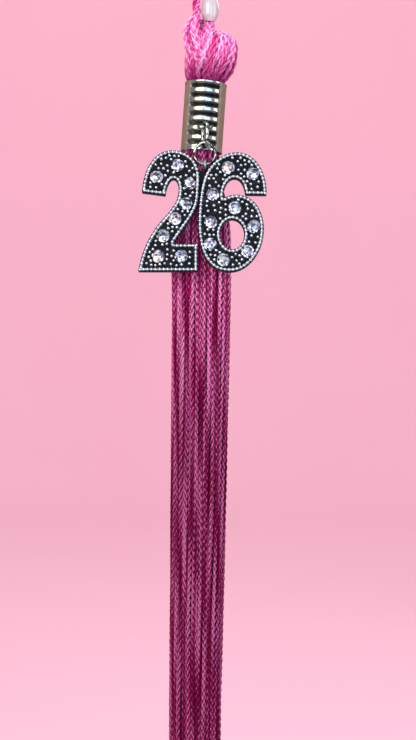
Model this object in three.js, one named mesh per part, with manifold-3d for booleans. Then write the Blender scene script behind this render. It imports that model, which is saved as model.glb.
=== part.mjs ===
// Hanging graduation tassel with a two-digit year charm, in millimetres, +Z up.
// The origin is the inside top of the hanging loop, where a peg or a cap's button holds it.
// The front of the tassel, with the charm, faces -Y.
import * as THREE from 'three';
import { mergeVertices } from 'three/addons/utils/BufferGeometryUtils.js';
import Module from 'manifold-3d';

const wasm = await Module();
wasm.setup();

// Hanging loop and bead
const CORD_D = 2.4;
const LOOP_R = 5.2; // centre line radius of the bight
const LEFT_LEG_END = [-1.35, -53.0];
const RIGHT_LEG_END = [2.44, -55.6];
const PEARL_D = 4.8;
const PEARL_H = 9.8; // before the bore takes off its two ends
const PEARL_BORE_R = CORD_D / 2 + 0.25;
const PEARL_Z = -50.3;
const LEG_SLOPE = 0.05; // the right leg's run in x for each mm in z, where the bead slides

// Barrel, leaning a little with its top to the right
const BARREL_LEAN = THREE.MathUtils.degToRad(4);
const BARREL_CENTRE = [0.78, -83.0];
const BARREL_H = 20.5;
const BARREL_R = 6.1;
const BARREL_WALL = 0.45;
const RIB_COUNT = 7;
const RIB_PITCH = 2.8;
const RIB_TOP = 8.85; // first groove above the barrel's centre
const RIB_HALF_ANGLE = THREE.MathUtils.degToRad(42);
const GROOVE_R = 0.6;
const GROOVE_DEPTH = 0.3;
const FIT_GAP = 0.3;

// Skirt of hanging strands
const STRANDS = 30;
const STRAND_D = 1.3;
const STRAND_SIDES = 8;
const STRAND_STEPS = 10;
const MOUTH_Z = -93.2;
const SKIRT_TOP = -96.4;
const SKIRT_END = -300;
const FLARE_H = 28;
const MOUTH_OUTER_R = 5.0;
const MOUTH_INNER_R = 3.7;
const SKIRT_HALF_W = 8.6;
const SKIRT_HALF_D = 6.0;
const STRAND_SINK = 0.03; // share by which some strands lie nearer the middle
const SKIRT_TAPER = 1.5; // half width lost by the lower end
const SKIRT_DRIFT = 2.1; // sideways drift of the lower end

// Charm hardware
const WIRE_R = 0.5;
const CHARM_X = 1.2;
const CHARM_Y = -8.7;
const EYE_Z = -87.2;
const EYE_HALF_W = 1.8;
const LINK_HALF_H = 3.45;
const LINK_HALF_W = 1.6;
const LINK_Z = -89.5;
const RING_R = 3.2;
const RING_Z = -94.95;
const BAIL_R = 1.35;
const BAIL_WIRE_R = 0.45;
const BAIL_Z = -98.4;
const PLATE_T = 0.7;
const PLATE_TOP = -99.9;
const PLATE_FOOT = -105.5;
const PLATE_LEFT = -4;
const PLATE_RIGHT = 5;

// Digit castings and stones
const CHARM_TILT = THREE.MathUtils.degToRad(4); // its lower end rides forward on the skirt
const DIGIT_BACK = -7.6;
const DIGIT_T = 2.8;
const DIGIT_BASE_Z = -129.9;
const TWO_X = -18.1;
const SIX_X = -0.35;
const STONE_R = 1.95;
const CUP_R = 2.2;
const CUP_DEPTH = 1.35;
const STONE_SINK = 1.1; // depth of the stone's point under the casting's face
const STONE_CROWN = 0.65;
const STONE_TABLE_R = 1.1;

const smooth = (a, b, v) => THREE.MathUtils.smoothstep(v, a, b);
const lerp = THREE.MathUtils.lerp;

function finish(color, roughness, metalness) {
  return new THREE.MeshStandardMaterial({ color, roughness, metalness });
}

const tassel = new THREE.Group();

function add(name, geometry, material, parent = tassel) {
  const mesh = new THREE.Mesh(geometry, material);
  mesh.name = name;
  parent.add(mesh);
  return mesh;
}

function toSolid(geometry) {
  const bare = geometry.clone();
  bare.deleteAttribute('normal');
  bare.deleteAttribute('uv');
  const merged = mergeVertices(bare, 1e-4);
  return new wasm.Manifold(new wasm.Mesh({
    numProp: 3,
    vertProperties: new Float32Array(merged.attributes.position.array),
    triVerts: new Uint32Array(merged.index.array),
  }));
}

function toGeometry(solid) {
  const mesh = solid.getMesh();
  const geometry = new THREE.BufferGeometry();
  geometry.setAttribute('position', new THREE.BufferAttribute(mesh.vertProperties, 3));
  geometry.setIndex(new THREE.BufferAttribute(mesh.triVerts, 1));
  return geometry;
}

function circle(radius, sides) {
  const shape = new THREE.Shape();
  for (let i = 0; i < sides; i += 1) {
    const a = (2 * Math.PI * i) / sides;
    if (i === 0) shape.moveTo(radius * Math.cos(a), radius * Math.sin(a));
    else shape.lineTo(radius * Math.cos(a), radius * Math.sin(a));
  }
  return shape;
}

function tube(points, radius, sides, steps) {
  const extrudePath = new THREE.CatmullRomCurve3(points);
  return new THREE.ExtrudeGeometry(circle(radius, sides), { steps, extrudePath, bevelEnabled: false });
}

function reshape(geometry, place) {
  const position = geometry.attributes.position;
  const point = new THREE.Vector3();
  for (let i = 0; i < position.count; i += 1) {
    point.fromBufferAttribute(position, i);
    place(point);
    position.setXYZ(i, point.x, point.y, point.z);
  }
  return geometry;
}

// A wire ring in the XY plane, pulled apart along y into an oval link.
function ovalRing(halfWidth, halfHeight, wire) {
  const segments = 20;
  const ring = new THREE.TorusGeometry(halfWidth, wire, 8, segments);
  ring.rotateZ(Math.PI / segments);
  return reshape(ring, (p) => { p.y += Math.sign(p.y) * (halfHeight - halfWidth); });
}

function hangerCord() {
  const points = [
    [LEFT_LEG_END[0], LEFT_LEG_END[1]], [-1.35, -50.5], [-1.45, -46.5], [-2.1, -40], [-3.3, -30],
    [-4.4, -20], [-5.1, -11],
  ];
  for (let i = 0; i <= 8; i += 1) {
    const a = Math.PI * (1 - i / 8);
    points.push([LOOP_R * Math.cos(a), CORD_D / 2 - LOOP_R + LOOP_R * Math.sin(a)]);
  }
  points.push([5.1, -11], [4.6, -20], [3.95, -30]);
  for (const z of [-38, -44, -50, -54, RIGHT_LEG_END[1]]) {
    points.push([RIGHT_LEG_END[0] + LEG_SLOPE * (z - RIGHT_LEG_END[1]), z]);
  }
  return tube(points.map(([x, z]) => new THREE.Vector3(x, 0, z)), CORD_D / 2, 8, 64);
}

function pearlBead() {
  const profile = [];
  const bore = Math.asin(PEARL_BORE_R / (PEARL_D / 2));
  for (let i = 0; i <= 10; i += 1) {
    const a = lerp(-Math.PI / 2 + bore, Math.PI / 2 - bore, i / 10);
    profile.push(new THREE.Vector2((PEARL_D / 2) * Math.cos(a), (PEARL_H / 2) * Math.sin(a)));
  }
  profile.push(profile[0].clone());
  const bead = new THREE.LatheGeometry(profile, 20);
  bead.rotateX(Math.PI / 2);
  bead.rotateY(Math.atan(LEG_SLOPE));
  return bead.translate(RIGHT_LEG_END[0] + LEG_SLOPE * (PEARL_Z - RIGHT_LEG_END[1]), 0, PEARL_Z);
}

// The folded skein above the barrel: a closed soft form, level by level from its foot to its top.
function foldedHead() {
  const levels = [ // height, centre in x, half width, half depth
    [-72.3, 1.45, 5.2, 5.2], [-70.5, 1.9, 6.6, 5.9], [-67, 2.4, 7.6, 6.4], [-63, 2.5, 7.9, 6.5],
    [-60.2, 1.9, 7.5, 6.0], [-58.2, 0.6, 5.4, 4.8], [-57, -1.8, 2.6, 3.4], [-55.2, -1.9, 1.7, 2.0],
  ];
  const form = new THREE.CylinderGeometry(1, 1, levels.length - 1, 20, levels.length - 1);
  form.rotateX(Math.PI / 2);
  return reshape(form, (p) => {
    const [z, centre, halfWidth, halfDepth] = levels[Math.round(p.z + (levels.length - 1) / 2)];
    p.set(centre + p.x * halfWidth, p.y * halfDepth, z);
  });
}

function barrel() {
  const wall = BARREL_WALL / 2;
  const top = BARREL_H / 2;
  const profile = [
    [BARREL_R - BARREL_WALL, -top + wall], [BARREL_R - wall, -top], [BARREL_R, -top + wall],
    [BARREL_R, top - wall], [BARREL_R - wall, top], [BARREL_R - BARREL_WALL, top - wall],
    [BARREL_R - BARREL_WALL, -top + wall],
  ].map(([r, h]) => new THREE.Vector2(r, h));
  let body = toSolid(new THREE.LatheGeometry(profile, 40).rotateX(Math.PI / 2));
  for (let i = 0; i < RIB_COUNT; i += 1) {
    const points = [];
    for (let j = 0; j <= 8; j += 1) {
      const a = lerp(-RIB_HALF_ANGLE, RIB_HALF_ANGLE, j / 8);
      const r = BARREL_R + GROOVE_R - GROOVE_DEPTH;
      points.push(new THREE.Vector3(r * Math.sin(a), -r * Math.cos(a), RIB_TOP - i * RIB_PITCH));
    }
    body = body.subtract(toSolid(tube(points, GROOVE_R, 8, 10)));
  }
  return toGeometry(body);
}

// The part of the skein that is held inside the barrel, and the thread wound round it.
function boundNeck() {
  const radius = BARREL_R - BARREL_WALL - 2 * FIT_GAP - 0.6;
  const neck = new THREE.CylinderGeometry(radius, radius, BARREL_H - 1.2, 20);
  return neck.rotateX(Math.PI / 2);
}

function neckBinding() {
  const outer = BARREL_R - BARREL_WALL - FIT_GAP;
  const inner = outer - 0.55;
  const half = 4.5;
  const profile = [[inner, -half], [outer, -half], [outer, half], [inner, half], [inner, -half]];
  const ring = new THREE.LatheGeometry(profile.map(([r, h]) => new THREE.Vector2(r, h)), 24);
  return ring.rotateX(Math.PI / 2);
}

// A point at a share of the way round a flat-sided oval, from its front centre to the right.
function ovalPoint(halfWidth, halfDepth, share) {
  const flat = halfWidth - halfDepth;
  const bend = Math.PI * halfDepth;
  const way = share * (4 * flat + 2 * bend);
  if (way < flat) return [way, -halfDepth];
  if (way < flat + bend) {
    const a = (way - flat) / halfDepth;
    return [flat + halfDepth * Math.sin(a), -halfDepth * Math.cos(a)];
  }
  if (way < 3 * flat + bend) return [2 * flat + bend - way, halfDepth];
  if (way < 3 * flat + 2 * bend) {
    const a = (way - 3 * flat - bend) / halfDepth;
    return [-flat - halfDepth * Math.sin(a), halfDepth * Math.cos(a)];
  }
  return [way - 4 * flat - 2 * bend, -halfDepth];
}

function skirtCentre(z) {
  return 0.15 - SKIRT_DRIFT * smooth(-110, SKIRT_END, z);
}

function skirtHalfWidth(z) {
  return SKIRT_HALF_W - SKIRT_TAPER * THREE.MathUtils.clamp((-128 - z) / 172, 0, 1);
}

function strandPoint(index, z) {
  const share = (index + 0.5) / STRANDS;
  const spread = smooth(0, FLARE_H, MOUTH_Z - z);
  const sink = 1 - STRAND_SINK * Math.abs(Math.sin(1.9 * index + 0.7)) * spread;
  const angle = 2 * Math.PI * share;
  const mouth = index % 2 ? MOUTH_INNER_R : MOUTH_OUTER_R;
  const [x, y] = ovalPoint(skirtHalfWidth(z), SKIRT_HALF_D, share);
  const wave = 0.03 * Math.sin(z / 17 + 1.7 * index);
  return new THREE.Vector3(
    skirtCentre(z) + lerp(mouth * Math.sin(angle), x * sink, spread) + wave,
    lerp(-mouth * Math.cos(angle), y * sink, spread),
    z,
  );
}

function strand(index) {
  const end = SKIRT_END + 1.6 * Math.abs(Math.sin(2.3 * index));
  const points = [];
  for (let i = 0; i <= 14; i += 1) {
    points.push(strandPoint(index, lerp(SKIRT_TOP, end, (i / 14) ** 1.5)));
  }
  return tube(points, STRAND_D / 2, STRAND_SIDES, STRAND_STEPS);
}

function skirtCore() {
  const height = SKIRT_TOP - SKIRT_END - 3;
  const core = new THREE.CylinderGeometry(1, 1, height, 16, 8);
  core.rotateX(Math.PI / 2);
  return reshape(core.translate(0, 0, SKIRT_TOP - height / 2), (p) => {
    const spread = smooth(0, FLARE_H, MOUTH_Z - p.z);
    p.x = skirtCentre(p.z) + p.x * lerp(2.5, 0.9 * skirtHalfWidth(p.z) - 1.1, spread);
    p.y *= lerp(2.5, 2.9, spread);
  });
}

function barrelEye() {
  const back = -BARREL_R - FIT_GAP - 0.1;
  const points = [
    [-EYE_HALF_W, back], [-EYE_HALF_W, CHARM_Y + 0.9], [-EYE_HALF_W + 0.9, CHARM_Y], [0, CHARM_Y],
    [EYE_HALF_W - 0.9, CHARM_Y], [EYE_HALF_W, CHARM_Y + 0.9], [EYE_HALF_W, back],
  ].map(([x, y]) => new THREE.Vector3(CHARM_X + x, y, EYE_Z));
  return tube(points, WIRE_R, 8, 18);
}

function smallLink() {
  const link = ovalRing(LINK_HALF_W, LINK_HALF_H, WIRE_R);
  return link.rotateX(Math.PI / 2).rotateZ(Math.PI / 2).translate(CHARM_X, CHARM_Y, LINK_Z);
}

function jumpRing() {
  const ring = new THREE.TorusGeometry(RING_R, WIRE_R, 8, 28);
  return ring.rotateX(Math.PI / 2).translate(CHARM_X, CHARM_Y, RING_Z);
}

function box(low, high) {
  const size = high.map((v, i) => v - low[i]);
  const middle = high.map((v, i) => (v + low[i]) / 2);
  return new THREE.BoxGeometry(...size).translate(...middle);
}

// The hanging ring of the charm, with the plate that joins the two castings behind.
function bail() {
  const loop = new THREE.TorusGeometry(BAIL_R, BAIL_WIRE_R, 8, 18);
  loop.rotateY(Math.PI / 2).translate(CHARM_X, CHARM_Y, BAIL_Z);
  const front = DIGIT_BACK + FIT_GAP;
  const back = front + PLATE_T;
  const tab = box([CHARM_X - BAIL_WIRE_R, front, PLATE_TOP - 1], [CHARM_X + BAIL_WIRE_R, back, BAIL_Z]);
  const plate = box([PLATE_LEFT, front, PLATE_FOOT], [PLATE_RIGHT, back, PLATE_TOP]);
  return toGeometry(toSolid(loop).add(toSolid(tab)).add(toSolid(plate)));
}

function outlineTwo() {
  const s = new THREE.Shape();
  s.moveTo(0, 0);
  s.lineTo(17.2, 0);
  s.lineTo(17.2, 8.1);
  s.lineTo(10.15, 8.1);
  s.bezierCurveTo(12.6, 12.6, 17.0, 16.8, 17.4, 21.5);
  s.bezierCurveTo(17.6, 23.5, 17.75, 25.6, 17.75, 27.6);
  s.bezierCurveTo(17.75, 32.6, 14.4, 35.8, 9.64, 35.75);
  s.bezierCurveTo(4.6, 35.7, 1.3, 30.5, 0.9, 23.3);
  s.lineTo(7.75, 22.4);
  s.bezierCurveTo(8.0, 25.0, 9.0, 27.2, 10.1, 27.2);
  s.bezierCurveTo(11.3, 27.2, 11.9, 25.0, 11.5, 22.4);
  s.bezierCurveTo(11.1, 20.0, 8.1, 16.5, 6.35, 14.6);
  s.bezierCurveTo(3.2, 10.8, 0.75, 5.8, 0, 0.5);
  return s;
}

function outlineSix() {
  const s = new THREE.Shape();
  s.moveTo(19.5, 22.5);
  s.bezierCurveTo(20.0, 28.4, 16.6, 35.15, 11.2, 35.15);
  s.bezierCurveTo(7.0, 35.15, 3.4, 32.6, 1.55, 28.5);
  s.bezierCurveTo(0.2, 25.4, -0.45, 19.5, -0.45, 14.0);
  s.bezierCurveTo(-0.45, 9.0, 0.5, 4.6, 3.3, 1.85);
  s.bezierCurveTo(4.8, 0.35, 6.8, -0.1, 9.0, -0.1);
  s.bezierCurveTo(14.0, -0.1, 18.75, 5.6, 18.75, 12.4);
  s.bezierCurveTo(18.75, 18.4, 15.4, 22.6, 10.8, 22.6);
  s.bezierCurveTo(9.3, 22.6, 8.1, 22.2, 6.9, 21.5);
  s.bezierCurveTo(6.9, 25.0, 8.3, 27.4, 10.2, 27.4);
  s.bezierCurveTo(12.0, 27.4, 12.9, 25.6, 13.4, 22.6);
  const eye = new THREE.Path();
  eye.absellipse(9.5, 10.9, 3.5, 4.4, 0, 2 * Math.PI, true);
  s.holes.push(eye);
  return s;
}

const TWO_STONES = [
  [5.2, 27.9], [11.3, 31.3], [15.0, 26.1], [13.7, 20.0], [10.6, 15.6], [7.1, 10.5], [5.7, 4.5], [12.4, 4.5],
];
const SIX_STONES = [
  [8.4, 30.6], [15.6, 28.8], [3.9, 22.8], [10.3, 18.7], [3.3, 14.6], [15.8, 13.2], [3.1, 8.0],
  [14.0, 5.9], [7.0, 3.4],
];

function digit(outline, stones, left) {
  const plate = new THREE.ExtrudeGeometry(outline, { depth: DIGIT_T, bevelEnabled: false, curveSegments: 7 });
  let solid = toSolid(plate);
  for (const [x, z] of stones) {
    const cup = new THREE.CylinderGeometry(CUP_R, CUP_R, 2 * CUP_DEPTH, 12).rotateX(Math.PI / 2);
    solid = solid.subtract(toSolid(cup.translate(x, z, DIGIT_T)));
  }
  return toGeometry(solid).rotateX(Math.PI / 2).translate(left, DIGIT_BACK, DIGIT_BASE_Z);
}

function stone(left, [x, z]) {
  const profile = [
    [0, -STONE_SINK], [STONE_R, -0.05], [STONE_R, 0.15], [STONE_TABLE_R, STONE_CROWN], [0, STONE_CROWN],
  ].map(([r, h]) => new THREE.Vector2(r, h));
  const gem = new THREE.LatheGeometry(profile, 12);
  return gem.rotateX(Math.PI).translate(left + x, DIGIT_BACK - DIGIT_T, DIGIT_BASE_Z + z);
}

const number = (i) => String(i + 1).padStart(2, '0');

const pinkCord = finish(0xe060a8, 0.55, 0);
const berryCord = finish(0xa02868, 0.6, 0);
const sheetMetal = finish(0xc8c4b8, 0.2, 1);
const wireMetal = finish(0x9a9890, 0.3, 1);
const castMetal = finish(0x8a8c90, 0.4, 1);
const pearl = finish(0xf0e8e0, 0.2, 0);
const crystal = finish(0xe8f2ff, 0.05, 0);

add('hanger_cord', hangerCord(), pinkCord);
add('pearl_bead', pearlBead(), pearl);
add('folded_head', foldedHead(), pinkCord);

const leaning = new THREE.Group();
leaning.position.set(BARREL_CENTRE[0], 0, BARREL_CENTRE[1]);
leaning.rotation.y = BARREL_LEAN;
tassel.add(leaning);
add('barrel', barrel(), sheetMetal, leaning);
add('neck_binding', neckBinding(), pinkCord, leaning);
add('bound_neck', boundNeck(), berryCord, leaning);

add('barrel_eye', barrelEye(), wireMetal);
add('small_link', smallLink(), wireMetal);
add('jump_ring', jumpRing(), wireMetal);

// The charm's pieces are drawn upright, and the group turns them about the hanging ring's centre.
const charm = new THREE.Group();
charm.position.set(0, CHARM_Y, BAIL_Z);
charm.rotation.x = -CHARM_TILT;
tassel.add(charm);
const upright = (geometry) => geometry.translate(0, -CHARM_Y, -BAIL_Z);
add('charm_bail', upright(bail()), castMetal, charm);
add('digit_two', upright(digit(outlineTwo(), TWO_STONES, TWO_X)), castMetal, charm);
add('digit_six', upright(digit(outlineSix(), SIX_STONES, SIX_X)), castMetal, charm);
TWO_STONES.forEach((place, i) => {
  add(`stone_two_${number(i)}`, upright(stone(TWO_X, place)), crystal, charm);
});
SIX_STONES.forEach((place, i) => {
  add(`stone_six_${number(i)}`, upright(stone(SIX_X, place)), crystal, charm);
});

add('skirt_core', skirtCore(), berryCord);
for (let i = 0; i < STRANDS; i += 1) add(`strand_${number(i)}`, strand(i), berryCord);

export default tassel;
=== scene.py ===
"""A graduation tassel: loop cord, pearl bead, folded head, ribbed barrel, thread skirt and year charm."""
import math
import random

import bmesh
import bpy
import numpy as np
from mathutils import Matrix, Vector


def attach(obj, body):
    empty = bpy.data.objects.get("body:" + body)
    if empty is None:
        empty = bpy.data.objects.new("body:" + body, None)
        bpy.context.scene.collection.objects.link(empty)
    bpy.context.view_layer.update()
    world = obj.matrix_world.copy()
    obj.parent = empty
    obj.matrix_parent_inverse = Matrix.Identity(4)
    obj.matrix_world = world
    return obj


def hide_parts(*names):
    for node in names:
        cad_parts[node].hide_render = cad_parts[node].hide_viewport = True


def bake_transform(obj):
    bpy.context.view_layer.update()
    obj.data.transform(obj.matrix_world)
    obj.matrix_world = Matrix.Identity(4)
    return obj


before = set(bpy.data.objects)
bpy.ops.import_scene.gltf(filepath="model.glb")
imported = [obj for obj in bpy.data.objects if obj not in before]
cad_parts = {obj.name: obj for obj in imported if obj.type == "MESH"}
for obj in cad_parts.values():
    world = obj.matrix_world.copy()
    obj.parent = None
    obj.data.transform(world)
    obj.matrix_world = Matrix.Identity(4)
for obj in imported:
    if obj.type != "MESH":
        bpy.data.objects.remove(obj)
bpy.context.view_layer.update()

MM = 0.001
FRONT_VIEW = Matrix.Rotation(math.radians(90), 4, "X")  # a drawing's x, y become x, z; its z faces -Y

# The object's own measures, in millimetres
CORD_D = 2.4
LOOP_R = 5.2
LEFT_FOOT = (-1.35, -54.6)
RIGHT_FOOT = (2.4, -56.4)
LEG_SLOPE = 0.05
PEARL_Z = -50.3
PEARL_R = 2.6
PEARL_BULGE = 0.8
PEARL_HALF_H = 3.85
BARREL_LEAN = math.radians(4)
BARREL_CENTRE = (0.78, 0.0, -83.0)
BARREL_H = 20.5
BARREL_R = 6.1
BARREL_WALL = 0.45
RIB_COUNT = 7
RIB_PITCH = 2.8
RIB_TOP = 8.85  # the first groove above the barrel's centre
GROOVE_HALF_H = 0.76
GROOVE_DEPTH = 0.42
STRANDS = 30
STRAND_SINK = 0.03  # the share by which some strands lie nearer the middle
SKIRT_HALF_WIDTH = 8.6
SKIRT_HALF_DEPTH = 6.0
SKIRT_TAPER = 1.5  # half width lost from TAPER_TOP down
TAPER_TOP = -128.0
SKIRT_CENTRE = 0.15
SKIRT_DRIFT = 2.1  # sideways drift to the left from DRIFT_TOP down
DRIFT_TOP = -110.0
FLARE_H = 28.0
MOUTH_OUTER_R = 5.0
MOUTH_INNER_R = 3.7
FINE_D = 1.12  # a thread under its own tension
HEAD_THREAD_D = 1.4
MOUTH_Z = -93.2
SKIRT_END = -300.0
CHARM_X = 1.2
CHARM_Y = -8.7
WIRE_R = 0.58
EYE_Z = -87.2
LINK_Z = -89.5
LINK_HALF_W = 1.6
LINK_HALF_H = 3.45
RING_Z = -94.95
RING_R = 3.1
RING_WIRE_R = 0.5
BAIL_Z = -98.4
BAIL_R = 1.35
BAIL_WIRE_R = 0.45
PLATE_BACK = -6.6
PLATE_FRONT = -7.3
DIGIT_BACK = -7.6
DIGIT_FRONT = -10.4
CHARM_TILT = math.radians(4)  # its lower end rides forward on the skirt
DIGIT_BASE = -129.9
TWO_LEFT = -18.1
SIX_LEFT = -0.35
FIELD_Y = -9.85  # the blackened field that the stones sit in
CUP_FLOOR_Y = -9.1
STONE_R = 1.95
CUP_R = 2.06
CUP_WIRE_R = 0.17
RIM_INSET = 0.58
RIDGE_R = 0.5
BEAD_PITCH = 1.18
GRANULE_R = 0.47
GRANULE_GAP = 1.2
RIM_CLEARANCE = 1.54
STONE_CLEARANCE = 2.46


# ---------------------------------------------------------------- node trees

class Sock:
    """One output in a node tree, so that maths on it is written as a plain expression."""

    def __init__(self, nodes, socket):
        self.nodes = nodes
        self.socket = socket

    def other(self, name):
        return Sock(self.nodes, self.socket.node.outputs[name])

    def maths(self, operation, *values):
        return self.nodes.add("ShaderNodeMath", {"operation": operation}, dict(enumerate(values)))

    def __add__(self, value):
        return self.maths("ADD", self, value)

    def __sub__(self, value):
        return self.maths("SUBTRACT", self, value)

    def __rsub__(self, value):
        return self.maths("SUBTRACT", value, self)

    def __mul__(self, value):
        return self.maths("MULTIPLY", self, value)

    def __truediv__(self, value):
        return self.maths("DIVIDE", self, value)

    __radd__ = __add__

    def sin(self):
        return self.maths("SINE", self)

    def cos(self):
        return self.maths("COSINE", self)

    def ramp(self, low, high):
        """0 below low, 1 above high, and smooth between."""
        settings = {"interpolation_type": "SMOOTHSTEP"}
        return self.nodes.add("ShaderNodeMapRange", settings, {0: self, 1: low, 2: high})


class Nodes:
    """Adds nodes to one tree."""

    def __init__(self, tree):
        self.tree = tree

    def add(self, kind, settings=(), inputs=(), out=0):
        node = self.tree.nodes.new(kind)
        for name, value in dict(settings).items():
            setattr(node, name, value)
        for key, value in dict(inputs).items():
            if isinstance(value, Sock):
                self.tree.links.new(value.socket, node.inputs[key])
            else:
                node.inputs[key].default_value = value
        return Sock(self, node.outputs[out])

    def mix(self, factor, a, b):
        return self.add("ShaderNodeMix", {"data_type": "RGBA"}, {0: factor, 6: a, 7: b}, 2)

    def vector(self, operation, a, b):
        key = 3 if operation == "SCALE" else 1
        return self.add("ShaderNodeVectorMath", {"operation": operation}, {0: a, key: b})

    def store(self, geometry, kind, name, value):
        """Keeps a value on every point under a name."""
        return self.add(
            "GeometryNodeStoreNamedAttribute", {"data_type": kind, "domain": "POINT"},
            {"Geometry": geometry, "Name": name, "Value": value},
        )

    def attribute(self, name, out=2):
        return self.add("ShaderNodeAttribute", {"attribute_name": name}, out=out)

    def place(self, axis):
        """The object's own coordinate on an axis, in metres."""
        coordinates = self.add("ShaderNodeTexCoord", out=3)
        return self.add("ShaderNodeSeparateXYZ", inputs={0: coordinates}, out="XYZ".index(axis))

    def noise(self, scale, stretch=(1, 1, 1), detail=3.0):
        """Noise on the object's own coordinates; scale counts grains in a metre."""
        place = self.add("ShaderNodeTexCoord", out=3)
        sized = self.add("ShaderNodeMapping", inputs={"Vector": place, "Scale": stretch})
        return self.add("ShaderNodeTexNoise", inputs={"Vector": sized, "Scale": scale, "Detail": detail})


def material(name, constants, varying):
    """A Principled finish: constants sit on its own sockets, varying(nodes) gives what is linked."""
    made = bpy.data.materials.new(name)
    made.use_nodes = True
    shader = made.node_tree.nodes["Principled BSDF"]
    for key, value in constants.items():
        shader.inputs[key].default_value = value
    nodes = Nodes(made.node_tree)
    for key, value in varying(nodes).items():
        made.node_tree.links.new(value.socket, shader.inputs[key])
    return made


def bump(nodes, height, distance, strength=1.0):
    return nodes.add("ShaderNodeBump", inputs={"Height": height, "Distance": distance, "Strength": strength})


# ---------------------------------------------------------------- finishes

def thread_finish(name, deep, middle, light, shade, from_z, to_z):
    """Lustrous rayon: painted shade deep between the plies, painted highlights on their crowns, and a tint
    multiplied in from one height to another, which on the head and skirt is painted light and shade.
    """
    def varying(nodes):
        crown = nodes.attribute("crown")
        filament = nodes.noise(1.0, (5200, 5200, 1300), 2.0)
        dye = nodes.noise(150.0, (1, 1, 0.25), 2.0)
        tone = nodes.attribute("tone")
        # Painted shade: the deep colour fills where crown is low, between the plies.
        body = nodes.mix((crown * 0.85 + dye * 0.3 + tone).ramp(0.3, 1.0), (*deep, 1), (*middle, 1))
        # Painted highlight: the light colour on the plies' outermost crowns.
        painted_highlight = (crown * 0.8 + filament * 0.7 + dye * 0.3 + tone * 0.5).ramp(1.2, 1.46)
        plain = nodes.mix(painted_highlight, body, (*light, 1))
        # Painted light and shade by height: this tint is mixed in between from_z and to_z below.
        shaded = nodes.vector("MULTIPLY", plain, shade)
        z = nodes.place("Z") / MM
        return {
            "Base Color": nodes.mix((z + dye * 3.0).ramp(from_z, to_z), plain, shaded),
            "Roughness": 0.34 + filament * 0.2,
            "Normal": bump(nodes, filament, 0.00008, 0.6),
        }
    constants = {
        "Sheen Weight": 0.03, "Sheen Roughness": 0.3, "Sheen Tint": (*middle, 1), "IOR": 1.2,
        "Specular IOR Level": 0.35, "Specular Tint": (*middle, 1),
    }
    return material(name, constants, varying)


def sheet_metal_finish():
    """Polished nickel hazed by handling, with a duller taupe on the sides as painted reflection, and painted
    shade near black down in the pressed grooves, browner on the left where painted light falls.
    """
    def varying(nodes):
        depth = nodes.attribute("groove")
        haze = nodes.noise(420.0, (1, 1, 1), 4.0)
        scratch = nodes.noise(1.0, (2500, 2500, 9000), 2.0)
        side_shade = nodes.attribute("side_shade")
        x = nodes.place("X") / MM
        # Painted light: grooves on the barrel's left, below x -2.2 mm, are browner.
        left = (x + haze * 1.5).ramp(-0.8, -2.2)
        clean = nodes.mix(haze.ramp(0.3, 0.7), (0.70, 0.66, 0.58, 1), (0.82, 0.79, 0.73, 1))
        # Painted reflection: the sides take a duller taupe, less metallic and rougher.
        side_shade_colour = nodes.mix(haze.ramp(0.3, 0.7), (0.24, 0.20, 0.12, 1), (0.29, 0.25, 0.16, 1))
        plate = nodes.mix(side_shade, clean, side_shade_colour)
        # Painted shade: near black in the grooves, brown where the painted light on the left falls.
        groove = nodes.mix(left, (0.010, 0.009, 0.010, 1), (0.16, 0.125, 0.10, 1))
        return {
            "Base Color": nodes.mix(depth, plate, groove),
            "Metallic": 1.0 - side_shade * 0.75,
            "Roughness": 0.14 + haze * 0.1 + depth * 0.2 + side_shade * 0.35,
            "Normal": bump(nodes, scratch, 0.00002, 0.35),
        }
    return material("barrel_plate", {"Specular IOR Level": 0.3}, varying)


def wire_finish():
    """Plated wire, near black in cloudy patches."""
    def varying(nodes):
        dark_patch = nodes.noise(650.0, (1, 1, 1), 4.0)
        scratch = nodes.noise(5000.0, (1, 1, 1), 2.0)
        return {
            "Base Color": nodes.mix(dark_patch.ramp(0.42, 0.58), (0.66, 0.63, 0.58, 1), (0.035, 0.03, 0.028, 1)),
            "Roughness": 0.1 + dark_patch * 0.25,
            "Normal": bump(nodes, scratch, 0.00002, 0.4),
        }
    return material("wire_silver", {"Metallic": 1.0}, varying)


def silver_finish(name, bright, dark, low, high, roughness):
    """Antique silver on the leaning charm: from blackened at depth low, oxide and painted shade in the
    hollows, to bright at high, rubbed metal and painted highlight on the tops.
    """
    def varying(nodes):
        y = nodes.place("Y")
        out = (y + -CHARM_Y * MM) * math.cos(CHARM_TILT)
        lean = (y.other("Z") - BAIL_Z * MM) * math.sin(CHARM_TILT)
        front = (out - lean) / -MM - CHARM_Y
        patina = nodes.noise(900.0, (1, 1, 1), 4.0)
        # Oxide with painted shade low down, rubbed metal with painted highlight high up.
        rubbed = (front + (patina - 0.5) * 0.35).ramp(-low, -high)
        grain = nodes.noise(5000.0, (1, 1, 1), 2.0)
        return {
            "Base Color": nodes.mix(rubbed, (*dark, 1), (*bright, 1)),
            "Roughness": roughness + (1.0 - rubbed) * 0.25 + patina * 0.1,
            "Normal": bump(nodes, grain, 0.00002, 0.4),
        }
    return material(name, {"Metallic": 1.0}, varying)


def blackened_finish():
    """The oxidised field of the castings: near black, rough, with a little metal showing."""
    def varying(nodes):
        grit = nodes.noise(3500.0, (1, 1, 1), 4.0)
        patch = nodes.noise(500.0, (1, 1, 1), 3.0)
        black = nodes.mix(patch.ramp(0.45, 0.8), (0.003, 0.003, 0.006, 1), (0.022, 0.022, 0.032, 1))
        return {
            "Base Color": black,
            "Roughness": 0.38 + grit * 0.35,
            "Normal": bump(nodes, grit, 0.00008, 0.8),
        }
    return material("blackened_field", {"Metallic": 0.0, "Specular IOR Level": 0.15}, varying)


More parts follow.
